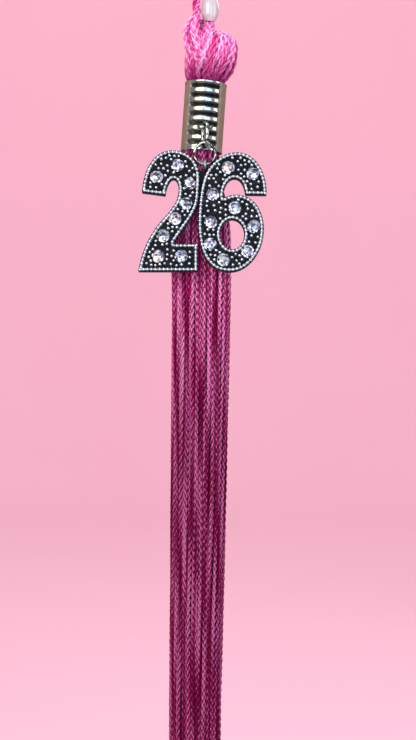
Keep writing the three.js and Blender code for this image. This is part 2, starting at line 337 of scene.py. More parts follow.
def crystal_finish():
    """A clear stone over silver foil: each facet's colour is painted sparkle and reflection, and some facets
    glow as a painted glint.
    """
    def varying(nodes):
        return {"Base Color": nodes.attribute("facet", 0), "Emission Color": nodes.attribute("painted_glow", 0)}
    constants = {
        "Metallic": 0.15, "Roughness": 0.1, "Coat Weight": 0.5, "Coat Roughness": 0.02,
        "Emission Strength": 1.0,
    }
    return material("foiled_crystal", constants, varying)


def pearl_finish():
    """Pearl lacquer: cool white, with a rosier glaze that drifts over the bead."""
    def varying(nodes):
        glaze = nodes.noise(260.0, (1, 1, 1), 2.0)
        return {
            "Base Color": nodes.mix(glaze.ramp(0.3, 0.7), (0.64, 0.68, 0.64, 1), (0.56, 0.54, 0.55, 1)),
            "Roughness": 0.2 + glaze * 0.08,
        }
    constants = {"Coat Weight": 1.0, "Coat Roughness": 0.2, "Coat IOR": 1.8, "Specular IOR Level": 0.8}
    return material("pearl_lacquer", constants, varying)


LOOP_THREAD = thread_finish(
    "loop_rayon", (0.34, 0.003, 0.09), (0.74, 0.045, 0.27), (1.0, 0.38, 0.72), (0.8, 0.7, 0.9), -40, -20,
)
# Painted shade: the head darkens from z -61 down to its deepest at -71.
HEAD_THREAD = thread_finish(
    "head_thread", (0.46, 0.012, 0.15), (0.86, 0.17, 0.46), (1.0, 0.64, 0.90), (0.36, 0.13, 0.28), -61, -71,
)
# Painted light: the skirt brightens from z -185 up to its top under the barrel at -100, so it is darker
# towards the bottom.
SKIRT_THREAD = thread_finish(
    "skirt_thread", (0.07, 0.0, 0.012), (0.16, 0.007, 0.056), (0.42, 0.13, 0.27), (2.3, 3.2, 2.7), -185, -100,
)
BARREL_PLATE = sheet_metal_finish()
WIRE_SILVER = wire_finish()
RIM_SILVER = silver_finish("rim_silver", (0.80, 0.82, 0.85), (0.05, 0.06, 0.08), -10.02, -10.3, 0.2)
GRAIN_SILVER = silver_finish("grain_silver", (0.84, 0.86, 0.90), (0.03, 0.035, 0.045), -9.85, -10.15, 0.2)
CAST_SILVER = silver_finish("cast_silver", (0.42, 0.42, 0.43), (0.035, 0.035, 0.04), -8.3, -9.9, 0.3)
BLACK_FIELD = blackened_finish()
CRYSTAL = crystal_finish()
PEARL = pearl_finish()


# ---------------------------------------------------------------- mesh helpers

def new_object(name, mesh, finish=None, smooth=True):
    piece = linked(name, mesh)
    if finish:
        mesh.materials.clear()
        mesh.materials.append(finish)
    if smooth:
        mesh.shade_smooth()
    return piece


def linked(name, data):
    """A new object in the scene that holds the data as it is."""
    made = bpy.data.objects.new(name, data)
    bpy.context.collection.objects.link(made)
    return made


def mesh_from(name, points, faces, edges=()):
    mesh = bpy.data.meshes.new(name)
    mesh.from_pydata([tuple(p) for p in points], list(edges), list(faces))
    mesh.update()
    return mesh


def round_points(profile, sides):
    """Level rings of points round the Z axis, from (radius, height) pairs."""
    points = []
    for radius, height in profile:
        for k in range(sides):
            a = 2 * math.pi * k / sides
            points.append((radius * math.cos(a), radius * math.sin(a), height))
    return points


def quads(rings, sides, closed=False, first=0):
    """Faces between rings of points; closed joins the last ring to the first one."""
    faces = []
    for i in range(rings if closed else rings - 1):
        a = first + i * sides
        b = first + (i + 1) % rings * sides
        for k in range(sides):
            m = (k + 1) % sides
            faces.append((a + k, a + m, b + m, b + k))
    return faces


def flattened(host, name):
    """The host with its modifiers, as a plain mesh; the host is removed."""
    bpy.context.view_layer.update()
    graph = bpy.context.evaluated_depsgraph_get()
    mesh = bpy.data.meshes.new_from_object(host.evaluated_get(graph), depsgraph=graph)
    mesh.name = name
    bpy.data.objects.remove(host)
    return mesh


def smooth_path(points, count):
    """count points evenly spaced along a smooth curve through points."""
    p = np.array(points, float)
    p = np.vstack([2 * p[0] - p[1], p, 2 * p[-1] - p[-2]])
    t = np.linspace(0, 1, 12, endpoint=False)[:, None]
    runs = []
    for a, b, c, d in zip(p, p[1:], p[2:], p[3:]):
        curve = 2 * b + (c - a) * t + (2 * a - 5 * b + 4 * c - d) * t**2 + (3 * b - a - 3 * c + d) * t**3
        runs.append(curve / 2)
    fine = np.vstack([*runs, p[-2:-1]])
    way = np.concatenate([[0], np.cumsum(np.linalg.norm(np.diff(fine, axis=0), axis=1))])
    at = np.linspace(0, way[-1], count)
    return np.column_stack([np.interp(at, way, fine[:, i]) for i in range(3)])


def path_length(points):
    return float(np.linalg.norm(np.diff(points, axis=0), axis=1).sum())


def side_vectors(points, closed=False):
    """Two vectors across the path at each point, carried along it without twist."""
    if closed:
        along = np.roll(points, -1, 0) - np.roll(points, 1, 0)
    else:
        along = np.gradient(points, axis=0)
    along /= np.linalg.norm(along, axis=1)[:, None]
    start = (0, 1, 0) if abs(along[0][1]) < 0.9 else (1, 0, 0)
    first = [np.array(start) - along[0] * along[0].dot(start)]
    for t in along[1:]:
        kept = first[-1] - t * t.dot(first[-1])
        first.append(kept / np.linalg.norm(kept))
    first[0] /= np.linalg.norm(first[0])
    first = np.array(first)
    return first, np.cross(along, first)


def sweep(name, points, radius, sides=14, closed=False):
    """A round wire along points, with rounded-off ends where it is open."""
    points = np.array(points, float)
    scale = np.ones(len(points))
    if not closed:
        scale[0] = scale[-1] = 0.6
    u, v = side_vectors(points, closed)
    turn = np.linspace(0, 2 * math.pi, sides, endpoint=False)
    rings = [
        p + radius * s * (np.cos(a) * x + np.sin(a) * y)
        for p, s, x, y in zip(points, scale, u, v)
        for a in turn
    ]
    count = len(points)
    faces = quads(count, sides, closed)
    if not closed:
        faces.append(tuple(reversed(range(sides))))
        faces.append(tuple(range((count - 1) * sides, count * sides)))
    mesh = mesh_from(name, rings, faces)
    recalculate(mesh)
    return mesh


def recalculate(mesh):
    work = bmesh.new()
    work.from_mesh(mesh)
    bmesh.ops.recalc_face_normals(work, faces=work.faces)
    work.to_mesh(mesh)
    work.free()


def joined(name, meshes):
    """Several meshes as one."""
    work = bmesh.new()
    for mesh in meshes:
        work.from_mesh(mesh)
    whole = bpy.data.meshes.new(name)
    work.to_mesh(whole)
    work.free()
    return whole


# ---------------------------------------------------------------- geometry node trees

def geometry_tree(name, sockets):
    tree = bpy.data.node_groups.new(name, "GeometryNodeTree")
    tree.interface.new_socket(name="Geometry", in_out="INPUT", socket_type="NodeSocketGeometry")
    for label, kind in sockets:
        tree.interface.new_socket(name=label, in_out="INPUT", socket_type="NodeSocket" + kind)
    tree.interface.new_socket(name="Geometry", in_out="OUTPUT", socket_type="NodeSocketGeometry")
    nodes = Nodes(tree)
    return tree, nodes, nodes.add("NodeGroupInput")


def finish_tree(nodes, geometry, finish):
    real = nodes.add("GeometryNodeRealizeInstances", inputs={0: geometry})
    smooth = nodes.add("GeometryNodeSetShadeSmooth", inputs={0: real})
    dressed = nodes.add("GeometryNodeSetMaterial", inputs={"Geometry": smooth, "Material": finish})
    out = nodes.tree.nodes.new("NodeGroupOutput")
    nodes.tree.links.new(dressed.socket, out.inputs[0])


def run_tree(host, tree, values):
    """Runs a tree on the host with its inputs given by name."""
    modifier = host.modifiers.new(tree.name, "NODES")
    modifier.node_group = tree
    for item in tree.interface.items_tree:
        if item.in_out == "INPUT" and item.name in values:
            modifier[item.identifier] = values[item.name]


def chainette_tree():
    """Three plies plaited along every line of the host, as a knitted chainette thread."""
    sockets = [
        ("Ply radius", "Float"), ("Swing", "Float"), ("Lift", "Float"), ("Pitch", "Float"),
        ("Roll", "Float"), ("Start", "Float"), ("Steps", "Float"), ("Sides", "Int"), ("Finish", "Material"),
    ]
    tree, nodes, given = geometry_tree("chainette", sockets)
    line = nodes.add("GeometryNodeMeshToCurve", inputs={0: given})
    step = given.other("Pitch") / given.other("Steps")
    line = nodes.add("GeometryNodeResampleCurve", {"mode": "LENGTH"}, {"Curve": line, "Length": step})
    here = nodes.add("GeometryNodeInputPosition")
    line = nodes.store(line, "FLOAT_VECTOR", "core", here)
    tangent = nodes.add("GeometryNodeInputTangent")
    normal = nodes.add("GeometryNodeInputNormal")
    across = nodes.vector("CROSS_PRODUCT", tangent, normal)
    along = nodes.add("GeometryNodeSplineParameter", out="Length")
    start = nodes.add("GeometryNodeCurveOfPoint") * 2.4 + given.other("Start")
    roll = given.other("Roll") + start * 0.7
    lot = start * 3.7 + given.other("Roll") * 1.9
    tone = (lot + along * 60.0).sin() * 0.24 + (lot * 2.3 + along * 140.0).sin() * 0.16
    line = nodes.store(line, "FLOAT", "tone", tone)
    profile = nodes.add(
        "GeometryNodeCurvePrimitiveCircle",
        inputs={"Resolution": given.other("Sides"), "Radius": given.other("Ply radius")},
    )
    join = nodes.tree.nodes.new("GeometryNodeJoinGeometry")
    for ply in range(3):
        phase = along / given.other("Pitch") * (2 * math.pi) + start + ply * 2 * math.pi / 3
        wide = given.other("Swing") * phase.sin()
        deep = given.other("Lift") * (phase * 2.0).sin()
        shift = nodes.vector(
            "ADD",
            nodes.vector("SCALE", normal, wide * roll.cos() - deep * roll.sin()),
            nodes.vector("SCALE", across, wide * roll.sin() + deep * roll.cos()),
        )
        moved = nodes.add("GeometryNodeSetPosition", inputs={"Geometry": line, "Offset": shift})
        tube = nodes.add(
            "GeometryNodeCurveToMesh", inputs={"Curve": moved, "Profile Curve": profile, "Fill Caps": True}
        )
        nodes.tree.links.new(tube.socket, join.inputs[0])
    core = nodes.add("GeometryNodeInputNamedAttribute", {"data_type": "FLOAT_VECTOR"}, {"Name": "core"})
    away = nodes.add("ShaderNodeVectorMath", {"operation": "DISTANCE"}, {0: here, 1: core}, 1)
    # crown: how far each point lies out from the thread's middle; the thread finish paints shade where it is
    # low and highlights where it is high.
    crown = away / (given.other("Ply radius") + given.other("Swing"))
    plaited = nodes.store(Sock(nodes, join.outputs[0]), "FLOAT", "crown", crown)
    finish_tree(nodes, plaited, given.other("Finish"))
    return tree


def milgrain_tree():
    """A row of small beads along every line of the host, turned with the line."""
    sockets = [
        ("Pitch", "Float"), ("Along", "Float"), ("Across", "Float"), ("Height", "Float"),
        ("Finish", "Material"),
    ]
    tree, nodes, given = geometry_tree("milgrain", sockets)
    line = nodes.add("GeometryNodeMeshToCurve", inputs={0: given})
    points = nodes.add(
        "GeometryNodeCurveToPoints", {"mode": "LENGTH"}, {"Curve": line, "Length": given.other("Pitch")}
    )
    turned = nodes.add(
        "FunctionNodeAlignRotationToVector",
        {"axis": "X", "pivot_axis": "Z"},
        {"Vector": points.other("Tangent")},
    )
    size = nodes.add(
        "ShaderNodeCombineXYZ",
        inputs={0: given.other("Along"), 1: given.other("Across"), 2: given.other("Height")},
    )
    bead = nodes.add("GeometryNodeMeshIcoSphere", inputs={"Radius": 1.0, "Subdivisions": 2})
    placed = nodes.add(
        "GeometryNodeInstanceOnPoints",
        inputs={"Points": points, "Instance": bead, "Rotation": turned, "Scale": size},
    )
    finish_tree(nodes, placed, given.other("Finish"))
    return tree


def granule_tree():
    """A small ball on every point of the host, each a little different in size."""
    sockets = [("Radius", "Float"), ("Spread", "Float"), ("Seed", "Int"), ("Finish", "Material")]
    tree, nodes, given = geometry_tree("granules", sockets)
    points = nodes.add("GeometryNodeMeshToPoints", inputs={0: given})
    least = given.other("Radius") - given.other("Spread")
    most = given.other("Radius") + given.other("Spread")
    size = nodes.add(
        "FunctionNodeRandomValue", {"data_type": "FLOAT"}, {2: least, 3: most, "Seed": given.other("Seed")}, 1
    )
    ball = nodes.add("GeometryNodeMeshIcoSphere", inputs={"Radius": 1.0, "Subdivisions": 2})
    placed = nodes.add(
        "GeometryNodeInstanceOnPoints", inputs={"Points": points, "Instance": ball, "Scale": size}
    )
    finish_tree(nodes, placed, given.other("Finish"))
    return tree


CHAINETTE = chainette_tree()
MILGRAIN = milgrain_tree()
GRANULES = granule_tree()


def plait(name, lines, finish, diameter, pitch=6.6, roll=0.0, start=0.0, steps=18, sides=5):
    """Three-ply threads of that diameter along lines, all in metres, as one mesh."""
    points = np.vstack(lines)
    edges = []
    first = 0
    for line in lines:
        edges += [(first + i, first + i + 1) for i in range(len(line) - 1)]
        first += len(line)
    host = linked(name, mesh_from(name, points, [], edges))
    run_tree(host, CHAINETTE, {
        "Ply radius": 0.29 * diameter, "Swing": 0.17 * diameter, "Lift": 0.21 * diameter,
        "Pitch": pitch * MM, "Roll": roll, "Start": start, "Steps": float(steps), "Sides": sides,
        "Finish": finish,
    })
    mesh = flattened(host, name)
    mesh.attributes.remove(mesh.attributes["core"])
    return mesh


# ---------------------------------------------------------------- loop cord and pearl

def right_leg_x(z):
    return RIGHT_FOOT[0] + LEG_SLOPE * (z - RIGHT_FOOT[1])


def loop_route():
    """The hanging cord's centre line, from its left foot over the bight to its right foot."""
    points = [LEFT_FOOT, (-1.35, -50.5), (-1.45, -46.5), (-2.1, -40), (-3.3, -30), (-4.4, -20), (-5.1, -11)]
    for i in range(9):
        a = math.pi * (1 - i / 8)
        points.append((LOOP_R * math.cos(a), CORD_D / 2 - LOOP_R + LOOP_R * math.sin(a)))
    points += [(5.1, -11), (4.6, -20), (3.95, -30)]
    for z in (-38, -44, -50, -54, RIGHT_FOOT[1]):
        points.append((right_leg_x(z), z))
    return smooth_path([(x * MM, 0, z * MM) for x, z in points], 420)


def make_loop_cord():
    route = loop_route()
    u, v = side_vectors(route)
    lay, offset = 9.0 * MM, 0.66 * MM  # one turn of the cord, and its plies' distance from the middle
    way = np.linspace(0, path_length(route), len(route)) / lay * 2 * math.pi
    plies = []
    for k in range(3):
        a = (way + k * 2 * math.pi / 3)[:, None]
        plies.append(route + offset * (np.cos(a) * u + np.sin(a) * v))
    mesh = plait("loop_cord", plies, LOOP_THREAD, 1.4 * MM, pitch=5.5)
    piece = new_object("loop_cord", mesh, LOOP_THREAD)
    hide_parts("hanger_cord")
    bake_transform(piece)
    make_pearl()


def make_pearl():
    """An oval bead with its bore worn open round the cord."""
    bore = CORD_D / 2 + 0.1
    rows = 26
    low = math.asin((bore / PEARL_R) ** (1 / PEARL_BULGE))
    profile = []
    for i in range(rows + 1):
        a = -math.pi / 2 + low + (math.pi - 2 * low) * i / rows
        profile.append((PEARL_R * math.cos(a) ** PEARL_BULGE, PEARL_HALF_H * math.sin(a) / math.cos(low)))
    profile += [(bore - 0.08, profile[-1][1] - 0.2), (bore - 0.08, profile[0][1] + 0.2)]
    sides = 48
    points = [(x * MM, y * MM, z * MM) for x, y, z in round_points(profile, sides)]
    mesh = mesh_from("pearl", points, quads(len(profile), sides, closed=True))
    recalculate(mesh)
    place = Matrix.Translation(Vector((right_leg_x(PEARL_Z), 0, PEARL_Z)) * MM)
    mesh.transform(place @ Matrix.Rotation(math.atan(LEG_SLOPE), 4, "Y"))
    piece = new_object("pearl", mesh, PEARL)
    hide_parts("pearl_bead")
    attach(piece, "bead")
    return piece


# ---------------------------------------------------------------- skirt

def blend_step(low, high, value):
    t = min(max((value - low) / (high - low), 0.0), 1.0)
    return t * t * (3 - 2 * t)


def oval_point(half_width, half_depth, share):
    """A point at a share of the way round a flat-sided oval, from its front centre to the right."""
    flat = half_width - half_depth
    bend = math.pi * half_depth
    way = share * (4 * flat + 2 * bend)
    if way < flat:
        return way, -half_depth
    if way < flat + bend:
        a = (way - flat) / half_depth
        return flat + half_depth * math.sin(a), -half_depth * math.cos(a)
    if way < 3 * flat + bend:
        return 2 * flat + bend - way, half_depth
    if way < 3 * flat + 2 * bend:
        a = (way - 3 * flat - bend) / half_depth
        return -flat - half_depth * math.sin(a), half_depth * math.cos(a)
    return way - 4 * flat - 2 * bend, -half_depth


def skirt_centre(z):
    return SKIRT_CENTRE - SKIRT_DRIFT * (1 - blend_step(SKIRT_END, DRIFT_TOP, z))


def skirt_half_width(z):
    return SKIRT_HALF_WIDTH - SKIRT_TAPER * min(max((TAPER_TOP - z) / (TAPER_TOP - SKIRT_END), 0), 1)


def strand_point(index, z):
    """The CAD strands' own rule: two rings in the barrel's mouth, one round the skirt."""
    share = (index + 0.5) / STRANDS
    spread = blend_step(0, FLARE_H, MOUTH_Z - z)
    sink = 1 - STRAND_SINK * abs(math.sin(1.9 * index + 0.7)) * spread
    angle = 2 * math.pi * share
    mouth = MOUTH_INNER_R if index % 2 else MOUTH_OUTER_R
    x, y = oval_point(skirt_half_width(z), SKIRT_HALF_DEPTH, share)
    across = mouth * math.sin(angle) * (1 - spread) + x * sink * spread
    deep = -mouth * math.cos(angle) * (1 - spread) + y * sink * spread
    wave = 0.16 * spread * math.sin(z / 13 + 1.7 * index)
    return skirt_centre(z) + across + wave, deep, z


def make_strand(index):
    top = MOUTH_Z + 1.2
    end = SKIRT_END + 1.6 * abs(math.sin(2.3 * index))
    levels = [top + (end - top) * (i / 30) ** 1.3 for i in range(31)]
    route = smooth_path([[c * MM for c in strand_point(index, z)] for z in levels], 120)
    name = f"skirt_strand_{index + 1:02d}"
    mesh = plait(name, [route], SKIRT_THREAD, FINE_D * MM, roll=2.1 * index, start=1.7 * index)
    piece = new_object(name, mesh, SKIRT_THREAD)
    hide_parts(f"strand_{index + 1:02d}")
    hang(piece)


def hang(piece):
    """Bakes a skirt piece's placing into its mesh."""
    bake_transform(piece)


def inner_ring(ring, count, chance):
    """Threads inside the outer ring, at a part of its size, each ending a little apart."""
    lines = []
    for i in range(count):
        angle = 2 * math.pi * i / count
        end = SKIRT_END + 0.5 + 3.0 * chance.random()
        top = MOUTH_Z + 1.0
        points = []
        for k in range(24):
            z = top + (end - top) * (k / 23) ** 1.3
            spread = blend_step(0, FLARE_H, MOUTH_Z - z)
            x, y = oval_point(skirt_half_width(z), SKIRT_HALF_DEPTH, i / count)
            mouth = 4.6 * ring
            wave = 0.2 * spread * math.sin(z / 15 + 2.3 * i)
            points.append((
                (skirt_centre(z) + mouth * math.sin(angle) * (1 - spread) + x * ring * spread + wave) * MM,
                (-mouth * math.cos(angle) * (1 - spread) + y * ring * spread) * MM,
                z * MM,
            ))
        lines.append(smooth_path(points, 80))
    return lines


def make_inner_threads():
    """The threads between and behind the outer ones."""
    chance = random.Random(11)
    between = inner_ring(0.93, STRANDS, chance)
    behind = inner_ring(0.8, STRANDS, chance) + inner_ring(0.55, 16, chance) + inner_ring(0.25, 6, chance)
    for name, lines, steps in (("between_threads", between, 15), ("inner_threads", behind, 8)):
        mesh = plait(name, lines, SKIRT_THREAD, FINE_D * MM, steps=steps, sides=4)
        piece = new_object(name, mesh, SKIRT_THREAD)
        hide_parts("skirt_core")
        hang(piece)


# ---------------------------------------------------------------- folded head

def head_strand(points, count=44):
    return smooth_path([[c * MM for c in p] for p in points], count)


def right_fold():
    """Strands that rise from the barrel, swell out to the right and fold over the top."""
    chance = random.Random(5)
    count, loose = 31, 9  # threads in the fold, and loose ones over it
    levels = [  # height, centre in x, half width, half depth, swing to the right
        (-75.0, 1.4, 4.0, 4.1, 0.0), (-72.8, 1.5, 4.6, 4.7, 0.0), (-70.0, 2.0, 6.2, 5.5, 0.05),
        (-66.3, 2.7, 6.9, 5.9, 0.15), (-62.2, 3.1, 6.8, 5.9, 0.28), (-59.4, 3.3, 5.4, 4.7, 0.38),
        (-57.9, 2.9, 3.1, 2.7, 0.45), (-58.6, 2.5, 0.9, 0.8, 0.5),
    ]
    lines = []
    for i in range(count + loose):
        over = i >= count
        angle = 2 * math.pi * (i + 0.5) / count + chance.uniform(-0.08, 0.08)
        if over:
            angle = math.radians(-40 + 130 * (i - count) / (loose - 1))
        lift = 0.55 if over else chance.uniform(-0.45, 0.3)
        slant = chance.uniform(-0.35, 0.45) if over else 0.0
        points = []
        for step, (z, centre, wide, deep, swing) in enumerate(levels):
            a = angle + swing * math.cos(angle) + slant * (step - 3) / 4
            out = lift if 1 < step < 6 else min(lift, 0.0)
            points.append((centre + (wide + out) * math.sin(a), -(deep + out) * math.cos(a), z + 0.5 * lift))
        lines.append(head_strand(points))
    return lines


def left_fold():
    """Threads that come down from the loop's left leg, bulge left and cross under the right fold."""
    lines = []
    for side in (-1, 1):
        for j in range(5):
            s = j / 4
            lines.append(head_strand([
                (-2.2 + 1.5 * s, side * (0.9 + 0.8 * s), -52.6),
                (-3.4 + 2.5 * s, side * (1.7 + 1.1 * s), -54.4),
                (-4.5 + 3.6 * s, side * (2.4 + 1.3 * s), -56.8),
                (-4.7 + 4.8 * s, side * (3.3 + 1.4 * s), -59.5 + 0.3 * s),
                (-3.8 + 5.0 * s, side * (4.5 + 1.2 * s), -62.6 + 0.8 * s),
                (-2.0 + 4.3 * s, side * (5.4 + 0.7 * s), -65.4 + 1.3 * s),
                (0.0 + 3.2 * s, side * (5.7 + 0.2 * s), -67.8 + 1.7 * s),
                (1.5 + 2.3 * s, side * 4.6, -69.6 + 1.6 * s),
            ]))
    return lines


def lower_column():
    """Threads that rise straight from the barrel's left side and tuck under the left fold."""
    lines = []
    for side in (-1, 1):
        for j in range(5):
            s = j / 4
            lines.append(head_strand([
                (-2.7 + 2.3 * s, side * (1.2 + 3.2 * s), -74.6),
                (-3.2 + 2.5 * s, side * (1.6 + 3.2 * s), -72.4),
                (-4.2 + 3.2 * s, side * (2.0 + 3.1 * s), -69.2),
                (-4.3 + 3.2 * s, side * (2.4 + 2.6 * s), -66.0),
                (-3.6 + 2.6 * s, side * (2.3 + 2.0 * s), -62.4),
            ]))
    return lines


def neck_fold():
    """Threads round the foot of the loop's right leg, under the bead."""
    lines = []
    for j in range(4):
        s = j / 3
        lines.append(head_strand([
            (1.5 + 2.1 * s, -0.7 - 0.6 * math.sin(math.pi * s), -54.8),
            (1.0 + 2.5 * s, -1.9 - 0.9 * math.sin(math.pi * s), -56.6),
            (0.9 + 2.6 * s, -4.0 - 0.6 * s, -59.2),
            (0.9 + 2.4 * s, -5.3 - 0.6 * s, -61.6),
            (1.5 + 1.8 * s, -5.5 - 0.4 * s, -64.0),
        ]))
    for j in range(2):
        lines.append(head_strand([
            (-0.3 + 0.6 * j, 1.5 + 0.8 * j, -52.9), (0.1 + 0.8 * j, 1.9 + 0.5 * j, -55.0),
            (0.7 + 1.0 * j, 2.3, -58.0), (1.6 + 0.6 * j, 1.6, -61.0),
        ]))
    return lines


def make_head():
    folds = {
        "right_fold": right_fold(), "left_fold": left_fold(),
        "lower_column": lower_column(), "neck_fold": neck_fold(),
    }
    for k, (name, lines) in enumerate(folds.items()):
        mesh = plait(name, lines, HEAD_THREAD, HEAD_THREAD_D * MM, pitch=8.6, roll=0.7 * k)
        head_piece(name, mesh, bends=name in ("left_fold", "neck_fold"))
    # The cores carry no crown, so they take the thread's deep colour, the painted shade between threads.
    head_piece("head_core", lofted("head_core", [
        (-75.0, 1.4, 3.4), (-72.6, 1.5, 4.2), (-70.0, 1.9, 5.5), (-66.3, 2.5, 6.3), (-62.2, 2.9, 6.2),
        (-59.6, 3.0, 4.7), (-58.2, 3.0, 2.6),
    ]))
    head_piece("lobe_core", lofted("lobe_core", [
        (-73.0, -0.9, 2.2), (-69.0, -1.4, 2.6), (-64.0, -1.2, 3.4), (-60.0, -1.8, 2.6), (-57.4, -1.9, 1.6),
        (-55.0, -1.6, 0.9),
    ]))


def lofted(name, levels, sides=32, flat=0.86):
    """A closed round body through levels of height, centre in x and radius, flattened front to back."""
    points = []
    for z, centre, radius in levels:
        for x, y, _ in round_points([(radius, z)], sides):
            points.append(((centre + x) * MM, flat * y * MM, z * MM))
    caps = [tuple(reversed(range(sides))), tuple(range(len(points) - sides, len(points)))]
    return mesh_from(name, points, caps + quads(len(levels), sides))


def head_piece(name, mesh, bends=False):
    """A piece of the head; with bends its placing is baked into its mesh, without it rides with the tassel's
    body.
    """
    piece = new_object(name, mesh, HEAD_THREAD)
    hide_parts("folded_head")
    if bends:
        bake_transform(piece)
    else:
        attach(piece, "tassel")


# ---------------------------------------------------------------- barrel

def barrel_radius(height, angle):
    """The pressed sheet's outer radius and how far down a groove it is, 0 to 1."""
    groove = 0.0
    for i in range(RIB_COUNT):
        away = (height - RIB_TOP + RIB_PITCH * i) / GROOVE_HALF_H
        end = math.radians(48 - 8 * min(abs(away), 1) ** 2)
        groove = max(groove, math.exp(-(away**6)) * blend_step(end + 0.05, end - 0.05, abs(angle)))
    side = blend_step(math.radians(46), math.radians(40), abs(angle))
    ridges = side if -9.6 < height < 10.3 else 0.0
    lip = 0.12 * math.exp(-(((BARREL_H / 2 - abs(height)) / 0.5) ** 2))
    return BARREL_R + 0.1 + 0.1 * ridges * (1 - groove) - GROOVE_DEPTH * groove + lip, groove


def make_barrel():
    rows, columns = 164, 176
    seam = math.radians(1.1)
    points, faces, depths, side_shade = [], [], [], []
    for i in range(rows + 1):
        height = BARREL_H * (i / rows - 0.5)
        for k in range(columns + 1):
            angle = -math.pi + seam + (2 * math.pi - 2 * seam) * k / columns
            radius, depth = barrel_radius(height, angle)
            points.append((radius * math.sin(angle) * MM, -radius * math.cos(angle) * MM, height * MM))
            depths.append(depth)
            # Painted reflection: the sides beyond 44 degrees from the front are marked for the duller taupe.
            side_shade.append(blend_step(math.radians(44), math.radians(50), abs(angle)))
    for i in range(rows):
        for k in range(columns):
            a = i * (columns + 1) + k
            faces.append((a, a + 1, a + columns + 2, a + columns + 1))
    mesh = mesh_from("barrel", points, faces)
    mesh.attributes.new("groove", "FLOAT", "POINT").data.foreach_set("value", depths)
    mesh.attributes.new("side_shade", "FLOAT", "POINT").data.foreach_set("value", side_shade)
    mesh.transform(Matrix.Translation(Vector(BARREL_CENTRE) * MM) @ Matrix.Rotation(BARREL_LEAN, 4, "Y"))
    host = new_object("barrel_host", mesh)
    wall = host.modifiers.new("wall", "SOLIDIFY")
    wall.thickness = BARREL_WALL * MM
    wall.offset = -1
    piece = new_object("ribbed_barrel", flattened(host, "ribbed_barrel"), BARREL_PLATE)
    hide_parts("barrel")
    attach(piece, "tassel")


def dress_hidden_neck():
    """The thread wound inside the barrel keeps its CAD shape and takes the skirt's finish."""
    for node in ("bound_neck", "neck_binding"):
        bpy.data.objects[node].material_slots[0].material = SKIRT_THREAD


# ---------------------------------------------------------------- wire pieces

def ring_points(centre, across, up, half_width, half_height, count=72):
    """An oval of points: two half rounds of half_width, with straight sides between."""
    straight = half_height - half_width
    points = []
    for i in range(count):
        a = 2 * math.pi * (i + 0.5) / count
        lift = math.copysign(straight, math.sin(a))
        points.append(
            Vector(centre) + Vector(across) * half_width * math.cos(a)
            + Vector(up) * (half_width * math.sin(a) + lift)
        )
    return [tuple(p * MM) for p in points]


def wire_piece(name, mesh, node, body):
    piece = new_object(name, mesh, WIRE_SILVER)
    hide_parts(node)
    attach(piece, body)


def make_wires():
    out, side, up = (0, -1, 0), (1, 0, 0), (0, 0, 1)
    eye = [
        (-1.8, -5.7), (-1.8, -7.0), (-1.75, -7.9), (-1.3, -8.5), (-0.5, CHARM_Y), (0.5, CHARM_Y),
        (1.3, -8.5), (1.75, -7.9), (1.8, -7.0), (1.8, -5.7),
    ]
    rise = 0.3  # the eye slopes up to its feet
    eye_path = [((CHARM_X + x) * MM, y * MM, (EYE_Z + rise * (y - CHARM_Y)) * MM) for x, y in eye]
    route = smooth_path(eye_path, 60)
    wire_piece("soldered_eye", sweep("soldered_eye", route, WIRE_R * MM), "barrel_eye", "tassel")
    slew = math.radians(24)
    link_side = (math.sin(slew), -math.cos(slew), 0)
    link = ring_points((CHARM_X, CHARM_Y, LINK_Z), link_side, up, LINK_HALF_W, LINK_HALF_H)
    wire_piece("oval_link", sweep("oval_link", link, WIRE_R * MM, closed=True), "small_link", "link")
    centre = Vector((CHARM_X, CHARM_Y, RING_Z))
    turns = [math.radians(62 + 357.0 * i / 90) for i in range(91)]
    ring = [tuple((centre + RING_R * Vector((math.cos(a), 0, math.sin(a)))) * MM) for a in turns]
    wire_piece("cut_jump_ring", sweep("cut_jump_ring", ring, RING_WIRE_R * MM), "jump_ring", "ring")
    hanger = ring_points((CHARM_X, CHARM_Y, BAIL_Z), out, up, BAIL_R, BAIL_R)
    loop = sweep("bail", hanger, BAIL_WIRE_R * MM, closed=True)
    tab = rounded_box("tab", (0.75, PLATE_FRONT, -100.9), (1.65, PLATE_BACK, BAIL_Z), 0.2)
    plate = rounded_box("bridge", (-4, PLATE_FRONT, -105.5), (5, PLATE_BACK, -99.9), 0.25)
    whole = tilted(joined("bail_and_bridge", [loop, tab, plate]))
    piece = new_object("bail_and_bridge", whole, CAST_SILVER)
    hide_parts("charm_bail")
    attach(piece, "charm")


def rounded_box(name, low, high, edge):
    work = bmesh.new()
    bmesh.ops.create_cube(work, size=1.0)
    size = Vector(high) - Vector(low)
    middle = (Vector(high) + Vector(low)) / 2
    bmesh.ops.scale(work, vec=size * MM, verts=work.verts)
    bmesh.ops.bevel(
        work, geom=list(work.edges), offset=edge * MM, segments=3, profile=0.5, affect="EDGES"
    )
    bmesh.ops.translate(work, vec=middle * MM, verts=work.verts)
    mesh = bpy.data.meshes.new(name)
    work.to_mesh(mesh)
    work.free()
    return mesh


# ---------------------------------------------------------------- digits

